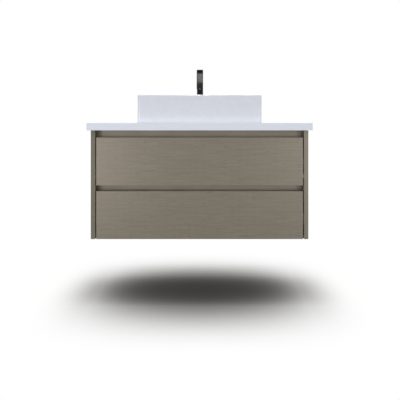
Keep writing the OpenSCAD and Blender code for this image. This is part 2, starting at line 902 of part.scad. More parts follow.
module drawer_bottom(z0) {
  color(pale_board)
    block(-board_half, board_half, front_back_y, box_back_y, z0 + side_sheet, z0 + board_lift);
}

// Angles in the corners behind the front
module front_angles(z0) {
  color(zinc) both_sides() translate([0, 0, z0 + board_lift + 5]) linear_extrude(front_angle_height) {
    translate([box_inner_x - front_angle_leg, front_back_y]) square([front_angle_leg, side_sheet]);
    translate([box_inner_x - side_sheet, front_back_y]) square([side_sheet, front_angle_leg]);
  }
}

// Bumpers on the back of a front, at the heights of what they close against
module bumpers(heights) {
  color(rubber) both_sides() for (z = heights)
    bar_y(bumper / 2, front_back_y, inside_front_y - clear, inner_x - bumper_inset, z);
}

module upper_drawer_front() { drawer_front(upper_front_z); }
module upper_drawer_right() { drawer_side(upper_box_z, upper_box_top_z); }
module upper_drawer_left() { mirror([1, 0, 0]) upper_drawer_right(); }
module upper_front_angles() { front_angles(upper_box_z); }

module upper_drawer_back_right() {
  color(pale_board) block(guard_half + seat, board_half, box_back_y - drawer_board, box_back_y,
    upper_box_z + board_lift, upper_box_top_z - back_drop);
}

module upper_drawer_back_left() {
  mirror([1, 0, 0]) upper_drawer_back_right();
}

// U-shaped wall that keeps the drawer's contents away from the trap
module upper_pipe_guard() {
  guard_y = basin_y - pipe_cutout_reach;
  z0 = upper_box_z + board_lift;
  z1 = upper_box_top_z - back_drop;
  color(white_plastic) difference() {
    block(-guard_half, guard_half, guard_y - pipe_guard_wall, box_back_y, z0, z1);
    block(-cutout_half, cutout_half, guard_y, box_back_y + over, z0 - over, z1 + over);
  }
}

module upper_drawer_bottom() {
  difference() {
    drawer_bottom(upper_box_z);
    block(-cutout_half, cutout_half, basin_y - pipe_cutout_reach, box_back_y + over,
      upper_box_z - over, upper_box_z + board_lift + over);
  }
}

module upper_bumpers() {
  bumpers([top_channel_z + channel_lip / 2, middle_channel_top_z - channel_lip / 2]);
}

module lower_drawer_front() { drawer_front(base_z); }
module lower_drawer_right() { drawer_side(lower_box_z, lower_box_top_z); }
module lower_drawer_left() { mirror([1, 0, 0]) lower_drawer_right(); }
module lower_drawer_bottom() { drawer_bottom(lower_box_z); }
module lower_front_angles() { front_angles(lower_box_z); }

module lower_drawer_back() {
  color(pale_board) block(-board_half, board_half, box_back_y - drawer_board, box_back_y,
    lower_box_z + board_lift, lower_box_top_z - back_drop);
}

module lower_bumpers() {
  bumpers([middle_channel_z + channel_lip / 2, base_z + board / 2]);
}

side_panel_left();
side_panel_right();
bottom_panel();
upper_back_rail();
lower_back_rail();
front_rail();
carcass_dowels();
top_channel();
middle_channel();
channel_blocks();
top_brackets();
bracket_screws();
stone_top();
basin();
basin_gasket();
waste_body();
waste_seals();
waste_nut();
click_cartridge();
waste_plug();
trap_tailpipe();
trap_nuts();
trap_bottle();
trap_cup();
outlet_pipe();
wall_rosette();
tap_seal();
tap_body();
tap_cartridge();
cartridge_ring();
tap_spout();
aerator();
lever_hub();
tap_lever();
tap_shank();
tap_washer();
tap_nut();
upper_cabinet_runners();
lower_cabinet_runners();
runner_screws();
upper_middle_runners();
lower_middle_runners();
upper_drawer_runners();
lower_drawer_runners();
upper_drawer_front();
upper_drawer_left();
upper_drawer_right();
upper_drawer_back_left();
upper_drawer_back_right();
upper_pipe_guard();
upper_drawer_bottom();
upper_front_angles();
upper_bumpers();
lower_drawer_front();
lower_drawer_left();
lower_drawer_right();
lower_drawer_back();
lower_drawer_bottom();
lower_front_angles();
lower_bumpers();
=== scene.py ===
# %% [markdown]
# # A wall-hung bathroom vanity, dressed for its photograph
# The CAD model is a fixed frame: boards, drawers, runners, trap and tap already stand where they
# belong, in metres, with +X to the right, the drawer fronts facing -Y and +Z up. This lesson adds
# what a CAD solid lacks: soft edges, real finishes, a few finer pieces, studio light and a camera.

# %% The tools and the frame
import math

import bmesh
import bpy
import numpy as np
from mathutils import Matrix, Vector


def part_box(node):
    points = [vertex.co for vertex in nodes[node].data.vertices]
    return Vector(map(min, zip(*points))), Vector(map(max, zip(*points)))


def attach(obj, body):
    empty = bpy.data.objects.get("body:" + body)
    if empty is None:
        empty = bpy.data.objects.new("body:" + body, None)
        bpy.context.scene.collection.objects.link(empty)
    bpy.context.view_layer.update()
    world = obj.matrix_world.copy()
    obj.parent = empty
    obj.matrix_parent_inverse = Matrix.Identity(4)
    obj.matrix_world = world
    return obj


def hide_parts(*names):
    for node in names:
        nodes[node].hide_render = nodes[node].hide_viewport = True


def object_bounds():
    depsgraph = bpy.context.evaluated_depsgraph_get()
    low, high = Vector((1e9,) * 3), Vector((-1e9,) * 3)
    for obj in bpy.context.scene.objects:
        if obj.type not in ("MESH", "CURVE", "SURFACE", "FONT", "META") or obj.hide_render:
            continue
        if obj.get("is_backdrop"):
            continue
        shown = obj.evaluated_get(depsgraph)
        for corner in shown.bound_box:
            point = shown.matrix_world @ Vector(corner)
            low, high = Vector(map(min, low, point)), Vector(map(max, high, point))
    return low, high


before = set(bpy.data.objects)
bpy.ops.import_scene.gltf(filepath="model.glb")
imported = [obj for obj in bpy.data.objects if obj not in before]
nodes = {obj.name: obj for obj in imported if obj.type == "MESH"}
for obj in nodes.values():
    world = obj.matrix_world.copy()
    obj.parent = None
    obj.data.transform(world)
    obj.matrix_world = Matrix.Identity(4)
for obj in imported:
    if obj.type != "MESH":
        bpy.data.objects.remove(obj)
cad_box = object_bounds()

# %% [markdown]
# ## A camera at the photograph's place
# A product photograph of cabinets is taken with the camera level, so that upright edges stay
# upright. Tilting the camera down would make them lean; sliding the lens down with shift keeps
# them straight, so the camera looks along +Y and the shift does the framing.

# %% The camera
scene = bpy.context.scene
camera_data = bpy.data.cameras.new("camera")
camera_data.lens = 50.0
camera_data.sensor_width = 36.0
camera_data.shift_x = -0.0065
camera_data.shift_y = -0.1966
camera = bpy.data.objects.new("camera", camera_data)
camera.location = (0.0125, -2.7577, 0.262)
camera.rotation_euler = (math.radians(90), 0.0, 0.0)
scene.collection.objects.link(camera)
scene.camera = camera
scene.view_settings.view_transform = "Standard"
print("camera", tuple(round(v, 3) for v in camera.location), "lens", camera_data.lens)

# %% [markdown]
# ## Nodes with one small function
# A material is a graph of nodes. Adding a node, setting it and wiring it takes three or four
# calls, so one function does all of it: words set the node's own options, and the dictionary sets
# its sockets, with a number or with the output of another node.


# %% A function that adds a node
def add(tree, kind, sockets=None, **options):
    """Adds a shader node with its options; each socket gets a value, or a link from an output."""
    node = tree.nodes.new("ShaderNode" + kind)
    for name, value in options.items():
        setattr(node, name, value)
    for name, value in (sockets or {}).items():
        if isinstance(value, bpy.types.NodeSocket):
            tree.links.new(value, node.inputs[name])
        else:
            node.inputs[name].default_value = value
    return node


kinds = [name for name in dir(bpy.types) if name.startswith("ShaderNode")]
print("Blender has", len(kinds), "kinds of shader node")

# %% [markdown]
# ## Colours as they are read from a screen
# A colour read off a screen is an sRGB value such as #7E776C. Light adds up in linear values, and
# Blender's sockets want those, so one function turns the one into the other.


# %% A function that turns sRGB to linear
def colour(code):
    """The linear RGBA colour of an sRGB hex code."""
    srgb = np.array([int(code[i : i + 2], 16) for i in (1, 3, 5)]) / 255
    linear = np.where(srgb <= 0.04045, srgb / 12.92, ((srgb + 0.055) / 1.055) ** 2.4)
    return (*(float(v) for v in linear), 1.0)


WHITE = colour("#FFFFFF")
print("middle grey #808080 is", round(colour("#808080")[0], 3), "in linear light")

# %% [markdown]
# ## White background
# The photograph shows the vanity before plain white, with a soft shadow far below it. A lit wall
# would never come out quite even, so the world itself is the background. It is white only where
# the camera, a reflection or a refraction meets it. The light that the world gives to the object
# is lower, so that white pieces don't burn out.

# %% The world
FILL = 0.43


def seen_rays(tree):
    """1 for rays that show the background: from the camera, off gloss and through glass."""
    rays = add(tree, "LightPath").outputs
    pair = {0: rays["Is Camera Ray"], 1: rays["Is Glossy Ray"]}
    first = add(tree, "Math", pair, operation="MAXIMUM")
    pair = {0: first.outputs[0], 1: rays["Is Transmission Ray"]}
    return add(tree, "Math", pair, operation="MAXIMUM").outputs[0]


world = bpy.data.worlds.new("white_studio")
world.use_nodes = True
tree = world.node_tree
tree.nodes.clear()
strength = add(tree, "MapRange", {"Value": seen_rays(tree), "To Min": FILL, "To Max": 1.0})
backdrop = add(tree, "Background", {"Color": WHITE, "Strength": strength.outputs[0]})
add(tree, "OutputWorld", {"Surface": backdrop.outputs[0]})
scene.world = world
print("the world gives", FILL, "of white as fill light")

# %% [markdown]
# ## The floor and its shadow
# The floor is white paper about 30 cm under the cabinet. Lit like the object, it would look grey,
# so what the camera sees of it is painted: white, made darker by how much of the open sky the
# vanity hides from that spot. Ambient Occlusion measures just that share. A smooth curve and a
# power of it give the shadow the depth that it has in the photograph, and half a metre to either
# side of the middle the shadow fades out, as the light of the side boxes washes over the paper
# there. The deeper the shadow, the warmer it is, because what light it gets comes off the taupe
# cabinet. Towards the object, the floor is plain grey paper that sends some light back up.

# %% The floor's paper sheet
FLOOR_Z = -0.503
FLOOR_HALF = 12.0

floor_mesh = bpy.data.meshes.new("floor")
signs = np.array([(-1, -1), (1, -1), (1, 1), (-1, 1)])
corners = np.c_[signs * FLOOR_HALF, np.full(4, FLOOR_Z)]
floor_mesh.from_pydata(corners.tolist(), [], [(0, 1, 2, 3)])
floor = bpy.data.objects.new("floor", floor_mesh)
scene.collection.objects.link(floor)
floor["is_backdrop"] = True
print("floor at", FLOOR_Z, "m")

# %% The floor's finish, with the painted shadow
SKY_REACH, SKY_SAMPLES = 0.6, 64
HIDDEN_SKY, OPEN_SKY = 0.08, 0.99
SHADOW_POWER = 4.0
DARKEST = 0.04
WASH_FROM, WASH_TO = 0.46, 0.70
SHADOW_TINT = colour("#FFF9F0")
PAPER_GREY = colour("#5A5A5A")

paper = bpy.data.materials.new("white_paper_floor")
paper.use_nodes = True
tree = paper.node_tree
tree.nodes.clear()
sky = add(tree, "AmbientOcclusion", {"Distance": SKY_REACH}, samples=SKY_SAMPLES)
limits = {"Value": sky.outputs["AO"], "From Min": HIDDEN_SKY, "From Max": OPEN_SKY}
share = add(tree, "MapRange", limits, interpolation_type="SMOOTHSTEP")
depth = add(tree, "Math", {0: share.outputs[0], 1: SHADOW_POWER}, operation="POWER")
level = add(tree, "MapRange", {"Value": depth.outputs[0], "To Min": DARKEST, "To Max": 1.0})
sideways = add(tree, "SeparateXYZ", {0: add(tree, "TexCoord").outputs["Object"]})
away = add(tree, "Math", {0: sideways.outputs["X"]}, operation="ABSOLUTE")
limits = {"Value": away.outputs[0], "From Min": WASH_FROM, "From Max": WASH_TO}
washed = add(tree, "MapRange", limits, interpolation_type="SMOOTHSTEP")
limits = {"Value": washed.outputs[0], "To Min": level.outputs[0], "To Max": 1.0}
shown = add(tree, "MapRange", limits)
tint = add(tree, "Mix", {0: share.outputs[0], 6: SHADOW_TINT, 7: WHITE}, data_type="RGBA")
drawn = add(tree, "Emission", {"Color": tint.outputs[2], "Strength": shown.outputs[0]})
lit = add(tree, "BsdfDiffuse", {"Color": PAPER_GREY})
either = add(tree, "MixShader", {0: seen_rays(tree), 1: lit.outputs[0], 2: drawn.outputs[0]})
add(tree, "OutputMaterial", {"Surface": either.outputs[0]})
floor_mesh.materials.append(paper)
print("the painted shadow goes down to", DARKEST, "of white")

# %% [markdown]
# ## Soft boxes
# Large lamps give the soft light of a studio. Two stand behind the camera, left and right of it,
# where the satin fronts mirror them: that is why the fronts are paler towards their ends, most of
# all at the left, whose lamp is the stronger one. The third is a long narrow strip overhead. It
# lights the stone top, and the black arch of the tap mirrors it as one broad highlight. A wide
# lamp would give the same light but spread over the arch, too faint to see on a black coat. The
# last three stand behind the plane of the fronts, so the photograph's view hardly changes, but the
# ends and the back of the vanity are lit too when it is looked at from there.


# %% The lamps
def soft_box(name, place, aim, size, power):
    """A lamp at place that shines towards aim; size is its width and height in metres."""
    data = bpy.data.lights.new(name, "AREA")
    data.shape = "RECTANGLE"
    data.size, data.size_y = size
    data.energy = power
    lamp = bpy.data.objects.new(name, data)
    lamp.location = place
    lamp.rotation_euler = (Vector(aim) - Vector(place)).to_track_quat("-Z", "Y").to_euler()
    scene.collection.objects.link(lamp)


SOFT_BOXES = [
    ("soft_box_left", (-1.45, -3.5, -0.02), (-0.1, -0.4, 0.0), (1.0, 0.94), 31),
    ("soft_box_right", (1.45, -3.5, 0.1), (0.1, -0.4, 0.0), (1.0, 1.15), 23),
    ("soft_box_overhead", (0.0, -1.13, 2.33), (0.0, -0.13, 0.47), (0.12, 2.9), 28),
    ("soft_box_left_end", (-3.0, 0.6, 0.9), (-0.4, -0.2, 0.1), (1.4, 1.4), 24),
    ("soft_box_right_end", (3.0, 0.6, 0.9), (0.4, -0.2, 0.1), (1.4, 1.4), 24),
    ("soft_box_back", (0.0, 2.0, 2.2), (0.0, 0.0, 0.1), (1.6, 0.8), 20),
]
for box in SOFT_BOXES:
    soft_box(*box)
print(len(SOFT_BOXES), "soft boxes")

# %% [markdown]
# ## A finish, step by step
# Every finish here is a Principled shader with patterns wired into it. Patterns read the object's
# own coordinates, which for every piece are metres from the middle of the wall fixing holes, so
# they need no UV map and don't stretch. A pattern's spots are given in millimetres, as makers give
# sizes, one for each direction, because wood grain is long one way and fine the other. A finish
# begins with an empty graph, gathers its patterns, and ends with its shader.

# %% The start of a finish, and its patterns
MM = 0.001


def new_finish(name):
    """A new material, its empty node tree and the object's own coordinates."""
    material = bpy.data.materials.new(name)
    material.use_nodes = True
    tree = material.node_tree
    tree.nodes.clear()
    return material, tree, add(tree, "TexCoord").outputs["Object"]


def spots(tree, place, size, detail=2.0, roughness=0.5):
    """Noise between 0 and 1 whose spots measure size = (x, y, z) millimetres."""
    scale = [1 / (v * MM) for v in size]
    local = add(tree, "Mapping", {"Vector": place, "Scale": scale})
    noise = {"Vector": local.outputs[0], "Scale": 1.0, "Detail": detail, "Roughness": roughness}
    return add(tree, "TexNoise", noise).outputs["Fac"]


def grains(tree, place, size_mm):
    """A value between 0 and 1 that is the same all over each grain of about size_mm."""
    cells = add(tree, "TexVoronoi", {"Vector": place, "Scale": 1 / (size_mm * MM)})
    return add(tree, "SeparateColor", {0: cells.outputs["Color"]}).outputs[0]


print("a pattern of 1 mm spots has", round(1 / MM), "of them in a metre")

# %% [markdown]
# ## From patterns to a shader
# A pattern is only a number between 0 and 1. It becomes colour as the share of two tones that the
# eye finds in the real surface, and shape as a slight relief in the shader's normal. Colour alone
# looks printed and relief alone looks like plaster, so most finishes have both. In a Mix node of
# colours, sockets 6 and 7 are the two colours and output 2 is the blend.

# %% Two tones, and the end of a finish
finishes = {}


def two_tones(tree, pattern, low, high, first, second):
    """The first colour where a pattern is under low, the second over high, even in between."""
    limits = {"Value": pattern, "From Min": low, "From Max": high}
    share = add(tree, "MapRange", limits).outputs[0]
    return add(tree, "Mix", {0: share, 6: first, 7: second}, data_type="RGBA").outputs[2]


def keep(key, material, sockets, height=None, depth_mm=0.0, strength=1.0):
    """Ends a finish with its Principled shader and keeps it under a key.

    sockets are the shader's own. The pattern height, if there is one, stands up by depth_mm.
    """
    tree = material.node_tree
    if height is not None:
        rise = {"Height": height, "Distance": depth_mm * MM, "Strength": strength}
        sockets = {**sockets, "Normal": add(tree, "Bump", rise).outputs[0]}
    shader = add(tree, "BsdfPrincipled", sockets)
    add(tree, "OutputMaterial", {"Surface": shader.outputs[0]})
    finishes[key] = material
    print("finish", key, "is", material.name, "of", len(tree.nodes), "nodes")


print("no finishes yet:", finishes)

# %% [markdown]
# ## Melamine laminate
# The fronts and side panels are particle board pressed with a melamine paper that copies brushed
# taupe oak: thin streaks along the grain, a satin surface, hardly any contrast. The real streaks
# are under 1 mm wide, finer than a pixel of the picture, so they are drawn 1.8 mm wide and 70 mm
# long, over softer ones of 5 by 150 mm that show from a step away. Pores of 1 by 30 mm stay fine.
# A Wave texture would repeat itself, and stretched noise doesn't. One function makes every
# direction and gloss: the grain runs along X on the fronts and upright on the side panels, and the
# right panel's edge mirrors more light than the left one's. The sheen of the pressed paper has a
# warm tint, as the fronts keep their hue where they mirror the lamps. At the rear the panels show
# their raw core, because that edge meets the wall and gets no band.

# %% The laminate, with its grain along X or upright
TAUPE_DARK, TAUPE_LIGHT, TAUPE_PORE = colour("#6C675B"), colour("#797569"), colour("#5E594E")
CHIP_DARK, CHIP_LIGHT = colour("#8A6B48"), colour("#C9AC82")
SHEEN = colour("#FFEEDC")
ALONG_X, UPRIGHT = 0, 2
GRAIN_ROUGHNESS, GLOSS_DRIFT = 0.6, 0.03
RAW_EDGE = -0.0003


def laminate(key, name, along, roughness, gloss, raw_back=False):
    """Taupe melamine with its grain along an axis; raw_back shows the chips behind RAW_EDGE."""
    material, tree, place = new_finish(name)

    def grain(length, width, detail):
        size = [width, width, width]
        size[along] = length
        return spots(tree, place, size, detail, GRAIN_ROUGHNESS)

    streaks, fine, pores = grain(150.0, 5.0, 2.0), grain(70.0, 1.8, 1.0), grain(30.0, 1.0, 0.0)
    tone = add(tree, "Math", {0: streaks, 1: fine}, operation="ADD").outputs[0]
    face = two_tones(tree, tone, 0.72, 1.28, TAUPE_DARK, TAUPE_LIGHT)
    face = two_tones(tree, pores, 0.66, 0.74, face, TAUPE_PORE)
    if raw_back:
        chips = spots(tree, place, (3.0, 3.0, 6.0), 3.0, 0.7)
        core = two_tones(tree, chips, 0.35, 0.65, CHIP_DARK, CHIP_LIGHT)
        depth = add(tree, "SeparateXYZ", {0: place}).outputs["Y"]
        at_back = add(tree, "Math", {0: depth, 1: RAW_EDGE}, operation="GREATER_THAN")
        face = two_tones(tree, at_back.outputs[0], 0.0, 1.0, face, core)
    drift = {"Value": streaks, "From Min": 0.3, "From Max": 0.7}
    drift |= {"To Min": roughness - GLOSS_DRIFT, "To Max": roughness + GLOSS_DRIFT}
    rough = add(tree, "MapRange", drift).outputs[0]
    sockets = {"Base Color": face, "Roughness": rough}
    sockets |= {"Specular IOR Level": gloss, "Specular Tint": SHEEN}
    keep(key, material, sockets, fine, 0.02, 0.3)


laminate("laminate_across", "taupe_melamine_across", ALONG_X, 0.36, 0.58)
laminate("laminate_left", "taupe_melamine_left_side", UPRIGHT, 0.5, 0.3, raw_back=True)
laminate("laminate_right", "taupe_melamine_right_side", UPRIGHT, 0.36, 0.56, raw_back=True)

# %% [markdown]
# ## Powder-coated aluminium
# The finger channels are extruded aluminium, powder-coated in a taupe like the fronts'. Their two
# tones are painted lighter than the fronts. This painted light makes up for the shade that falls in
# the recess behind the fronts. Powder melts to a coat with a very fine grain of about half a
# millimetre, without any direction. The coat hides the metal, so the shader is no metal but a
# paint, with the grain as relief.

# %% The channels' coat
material, tree, place = new_finish("taupe_powder_coat_painted_lighter")
grit = spots(tree, place, (0.5, 0.5, 0.5), 1.0)
cloud = spots(tree, place, (90.0, 40.0, 40.0), 1.0)
# Both tones are painted lighter than the fronts' own, as painted light for the shaded recess.
tone = two_tones(tree, cloud, 0.35, 0.65, colour("#8A8171"), colour("#91887A"))
keep("channel", material, {"Base Color": tone, "Roughness": 0.5}, grit, 0.03, 0.4)

# %% [markdown]
# ## Engineered stone
# The top is quartz grit bound in white resin and polished. Its grit shows only from close by, as
# grains of 1 to 2 mm that are a shade greyer or whiter than the resin, and the polish is satin.
# Noise would blur the grains into clouds, so Voronoi cells draw them, each in one shade.

# %% The stone top
material, tree, place = new_finish("white_engineered_stone")
grit = grains(tree, place, 1.6)
body = two_tones(tree, grit, 0.0, 1.0, colour("#DADFE9"), colour("#DEE3ED"))
flecks = spots(tree, place, (2.2, 2.2, 2.2), 0.0)
tone = two_tones(tree, flecks, 0.74, 0.78, body, colour("#C2C6CF"))
keep("stone", material, {"Base Color": tone, "Roughness": 0.45, "Specular IOR Level": 0.35})

# %% [markdown]
# ## Glazed ceramic
# The basin is sanitary ware: clay cast in a mould, dipped in a white glaze and fired. This one
# has the soft sheen of a satin glaze, for the photograph shows no sharp reflection in it. A clear
# coat over it would mirror the lamps as hard spots, so the shader has one satin surface. The
# glaze flowed when it melted and kept long shallow waves of about 26 mm.

# %% The glaze
material, tree, place = new_finish("white_glazed_ceramic")
waves = spots(tree, place, (26.0, 26.0, 26.0), 1.0)
tone = two_tones(tree, waves, 0.3, 0.7, colour("#D5D8E0"), colour("#D9DCE4"))
sockets = {"Base Color": tone, "Roughness": 0.2, "Specular IOR Level": 0.32}
keep("glaze", material, sockets, waves, 0.05, 0.15)

# %% [markdown]
# ## Black powder coat
# The tap is brass under a black coat that is satin, not glossy: only the overhead strip shows in
# it, as a broad soft highlight. A clear-coated black would turn pale wherever it is seen at a
# flat angle, so the coat is a dark metal with a grey tint for those angles, which keeps the
# edges of the arch black. It has a grain of a third of a millimetre.

# %% The tap's coat
material, tree, place = new_finish("black_powder_coat")
grit = spots(tree, place, (0.35, 0.35, 0.35), 1.0)
tone = two_tones(tree, grit, 0.3, 0.7, colour("#272727"), colour("#2D2D2D"))
sockets = {"Base Color": tone, "Metallic": 1.0, "Roughness": 0.27}
sockets |= {"Specular Tint": colour("#A0A0A0")}
keep("black", material, sockets, grit, 0.02, 0.35)

# %% [markdown]
# ## Chrome and zinc
# Both are thin metal on metal. Chrome is plated on polished brass and mirrors the studio, with a
# faint haze left by the wiping cloth. Zinc on steel strip is duller and cloudy: its crystals are
# a few millimetres wide, and the rolls left streaks along the strip. A plain grey metal would
# show neither, so patterns change the tone and the gloss together.

# %% The chrome plating
material, tree, place = new_finish("chrome_plating")
haze = spots(tree, place, (12.0, 12.0, 12.0), 2.0)
tone = two_tones(tree, haze, 0.0, 1.0, colour("#D9DADD"), colour("#E2E3E6"))
drift = {"Value": haze, "From Min": 0.3, "From Max": 0.7, "To Min": 0.06, "To Max": 0.12}
rough = add(tree, "MapRange", drift).outputs[0]
keep("chrome", material, {"Base Color": tone, "Metallic": 1.0, "Roughness": rough})

# %% The zinc plating
material, tree, place = new_finish("zinc_plated_steel")
crystal = grains(tree, place, 4.0)
rolled = spots(tree, place, (1.5, 60.0, 1.5), 2.0)
cloud = add(tree, "Math", {0: crystal, 1: rolled}, operation="ADD").outputs[0]
tone = two_tones(tree, cloud, 0.4, 1.5, colour("#A9ADB1"), colour("#C3C6C9"))
drift = {"Value": cloud, "From Min": 0.4, "From Max": 1.5, "To Min": 0.28, "To Max": 0.4}
rough = add(tree, "MapRange", drift).outputs[0]
keep("zinc", material, {"Base Color": tone, "Metallic": 1.0, "Roughness": rough})

# %% [markdown]
# ## Turned brass and coated steel
# Turned brass keeps the fine rings of the lathe, which noise that is thin upright and wide
# sideways draws as relief. The drawer sides are steel with a grey coat of fine texture. A wrinkle
# coat is modelled by its height, because its tone is nearly even.

# %% The brass and the drawer sides' coat
material, tree, place = new_finish("turned_brass")
rings = spots(tree, place, (40.0, 40.0, 0.5), 1.0)
tone = two_tones(tree, rings, 0.0, 1.0, colour("#B8964E"), colour("#D2B26A"))
keep("brass", material, {"Base Color": tone, "Metallic": 1.0, "Roughness": 0.25}, rings, 0.02, 0.4)

material, tree, place = new_finish("grey_coated_steel")
grit = spots(tree, place, (0.6, 0.6, 0.6), 2.0)
tone = two_tones(tree, grit, 0.3, 0.7, colour("#5B5E61"), colour("#66696C"))
keep("grey_steel", material, {"Base Color": tone, "Roughness": 0.55}, grit, 0.05, 0.5)

# %% [markdown]
# ## Wood inside
# The drawer bottoms and backs are board with a pale paper that copies wood. Its grain is drawn as
# on the fronts, from long soft streaks and short fine ones, because both are printed papers.
# The dowels are solid beech with its short dark rays, half a millimetre wide.

# %% The pale board and the beech
material, tree, place = new_finish("pale_melamine")
streaks = spots(tree, place, (90.0, 5.0, 5.0), 3.0, GRAIN_ROUGHNESS)
fine = spots(tree, place, (30.0, 1.2, 1.2), 2.0)
grain = add(tree, "Math", {0: streaks, 1: fine}, operation="ADD").outputs[0]
tone = two_tones(tree, grain, 0.7, 1.3, colour("#C4B8A4"), colour("#D3C8B5"))
keep("pale_board", material, {"Base Color": tone, "Roughness": 0.48}, fine, 0.03, 0.4)

material, tree, place = new_finish("beech_dowel")
rays = spots(tree, place, (6.0, 0.5, 0.5), 1.0)
tone = two_tones(tree, rays, 0.45, 0.7, colour("#C9A57A"), colour("#A98257"))
keep("beech", material, {"Base Color": tone, "Roughness": 0.6})

# %% [markdown]
# ## Plastic and rubber inside
# Trap, pipe guard and cartridges are moulded polypropylene, a waxy white. Glass would be too
# clear and paint too hard for it, so a little of the light goes in and comes out again. Seals and
# bumpers are matt black rubber with a trace of dust.

# %% The plastic and the rubber
material, tree, place = new_finish("white_polypropylene")
flow = spots(tree, place, (30.0, 30.0, 30.0), 2.0)
tone = two_tones(tree, flow, 0.0, 1.0, colour("#D9D9D4"), colour("#E2E2DE"))
mould = spots(tree, place, (0.8, 0.8, 0.8), 1.0)
sockets = {"Base Color": tone, "Roughness": 0.35, "Subsurface Weight": 0.05}
keep("plastic", material, sockets, mould, 0.02, 0.3)

material, tree, place = new_finish("black_nitrile_rubber")
dust = spots(tree, place, (3.0, 3.0, 3.0), 3.0)
tone = two_tones(tree, dust, 0.0, 1.0, colour("#1B1B1C"), colour("#252526"))
keep("rubber", material, {"Base Color": tone, "Roughness": 0.75})

# %% [markdown]
# ## Finishes and soft edges for the CAD pieces
# Each CAD piece knows its material slot. The slot names the finish, with three exceptions: the
# two side panels have upright grain, and the dowels are solid beech. No real edge is quite sharp,
# and the small radius is what catches the light, so every piece gets a Bevel of the size its
# maker would leave. The CAD mesh comes as separate faces, which Weld joins first, for a Bevel
# finds no edge between faces that don't share their corners. A Bevel normally holds itself back
# where two edges lie close together. Between the slots of the waste's body it would shrink to
# nothing everywhere, so this piece gets a smaller radius and no such limit. A few faces come out
# as slivers without any width at the slots' ends, and a second Weld closes those.

# %% Which finish and which edge radius goes with each slot
SLOT_FINISH = {
    "taupe_laminate": ("laminate_across", 0.3),
    "channel_paint": ("channel", 0.4),
    "pale_board": ("pale_board", 0.5),
    "white_stone": ("stone", 1.5),
    "white_glaze": ("glaze", 1.0),
    "black_satin": ("black", 0.6),
    "black_rubber": ("rubber", 0.3),
    "chrome_plate": ("chrome", 0.4),
    "zinc_steel": ("zinc", 0.3),
    "grey_steel": ("grey_steel", 0.4),
    "white_plastic": ("plastic", 0.6),
    "brass": ("brass", 0.3),
}
OWN_FINISH = {
    "side_panel_left": "laminate_left",
    "side_panel_right": "laminate_right",
    "carcass_dowels": "beech",
}
FREE_EDGE = {"waste_body": 0.2}
print(len(SLOT_FINISH), "slots,", len(OWN_FINISH), "exceptions")

# %% The finishes and the edges, piece by piece
JOIN_MM, SLIVER_MM = 0.01, 0.002
EDGE_ANGLE, EDGE_STEPS = math.radians(30), 3


def soft_edges(piece, radius_mm, limited=True):
    """Rounds the edges of a piece whose faces meet at more than EDGE_ANGLE."""
    weld = piece.modifiers.new("weld", "WELD")
    weld.merge_threshold = JOIN_MM * MM
    bevel = piece.modifiers.new("soft_edges", "BEVEL")
    bevel.width = radius_mm * MM
    bevel.segments = EDGE_STEPS
    bevel.limit_method = "ANGLE"
    bevel.angle_limit = EDGE_ANGLE
    bevel.use_clamp_overlap = limited
    bevel.harden_normals = True
    if not limited:
        slivers = piece.modifiers.new("slivers", "WELD")
        slivers.merge_threshold = SLIVER_MM * MM


for name, piece in nodes.items():
    finish, radius = SLOT_FINISH[piece.material_slots[0].material.name]
    piece.material_slots[0].material = finishes[OWN_FINISH.get(name, finish)]
    soft_edges(piece, FREE_EDGE.get(name, radius), limited=name not in FREE_EDGE)
print("dressed", len(nodes), "CAD pieces")

# %% [markdown]
# ## Surfaces from grids of points
# The new pieces are skins through a grid of points: each row is a closed loop, and the rows
# follow each other along the piece. Modelling them by hand would tie them to one size. numpy works
# out all points at once, from sizes that have names. The faces of the skin join each point to its
# neighbours in the row and in the next row, and the last point of a row to its first. Where a row
# shrinks to one point, the doubles are merged.

# %% A skin through a grid
POINT_R = 0.01
POLE = 0.05
DOUBLES_MM, NO_LENGTH_MM = 0.002, 0.001
SHARP_ANGLE = math.radians(35)


def skin(name, rows, finish, body, ring=False):
    """A smooth closed piece through rows of points in millimetres.

    rows has the shape (rows, points, 3), or one more axis in front for several copies in one piece.
    With ring, the last row is joined to the first. A row smaller than POLE, such as one of radius
    POINT_R, is drawn to its middle, so that the skin closes there in one point.
    """
    widest = np.ptp(rows, axis=-2).max(axis=-1)[..., None, None]
    rows = np.where(widest < POLE, rows.mean(axis=-2, keepdims=True), rows)
    count, around = rows.shape[-3:-1]
    index = np.arange(rows.size // 3).reshape(-1, count, around)
    if ring:
        index = np.concatenate([index, index[:, :1]], axis=1)
    index = np.concatenate([index, index[:, :, :1]], axis=2)
    quads = [index[:, :-1, :-1], index[:, :-1, 1:], index[:, 1:, 1:], index[:, 1:, :-1]]
    faces = np.stack(quads, axis=-1)
    mesh = bpy.data.meshes.new(name)
    mesh.from_pydata((rows.reshape(-1, 3) * MM).tolist(), [], faces.reshape(-1, 4).tolist())
    solid = bmesh.new()
    solid.from_mesh(mesh)
    bmesh.ops.remove_doubles(solid, verts=solid.verts, dist=DOUBLES_MM * MM)
    bmesh.ops.dissolve_degenerate(solid, edges=solid.edges, dist=NO_LENGTH_MM * MM)
    bmesh.ops.recalc_face_normals(solid, faces=solid.faces)
    solid.to_mesh(mesh)
    solid.free()
    mesh.shade_smooth()
    mesh.set_sharp_from_angle(angle=SHARP_ANGLE)
    mesh.materials.append(finishes[finish])
    piece = bpy.data.objects.new(name, mesh)
    scene.collection.objects.link(piece)
    even = piece.modifiers.new("even_shading", "WEIGHTED_NORMAL")
    even.keep_sharp = True
    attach(piece, body)
    print(name, len(mesh.vertices), "points")
    return piece


print("a row narrower than", POLE, "mm becomes one point")


# %% Rows at heights
def at_heights(flat, z):
    """Rows in the X-Y plane, each lifted to its own height."""
    upright = np.broadcast_to(np.asarray(z, dtype=float)[:, None, None], flat.shape[:2] + (1,))
    return np.concatenate([flat, upright], axis=-1)


print("two rows of four points:", at_heights(np.zeros((2, 4, 2)), [0, 1]).shape)

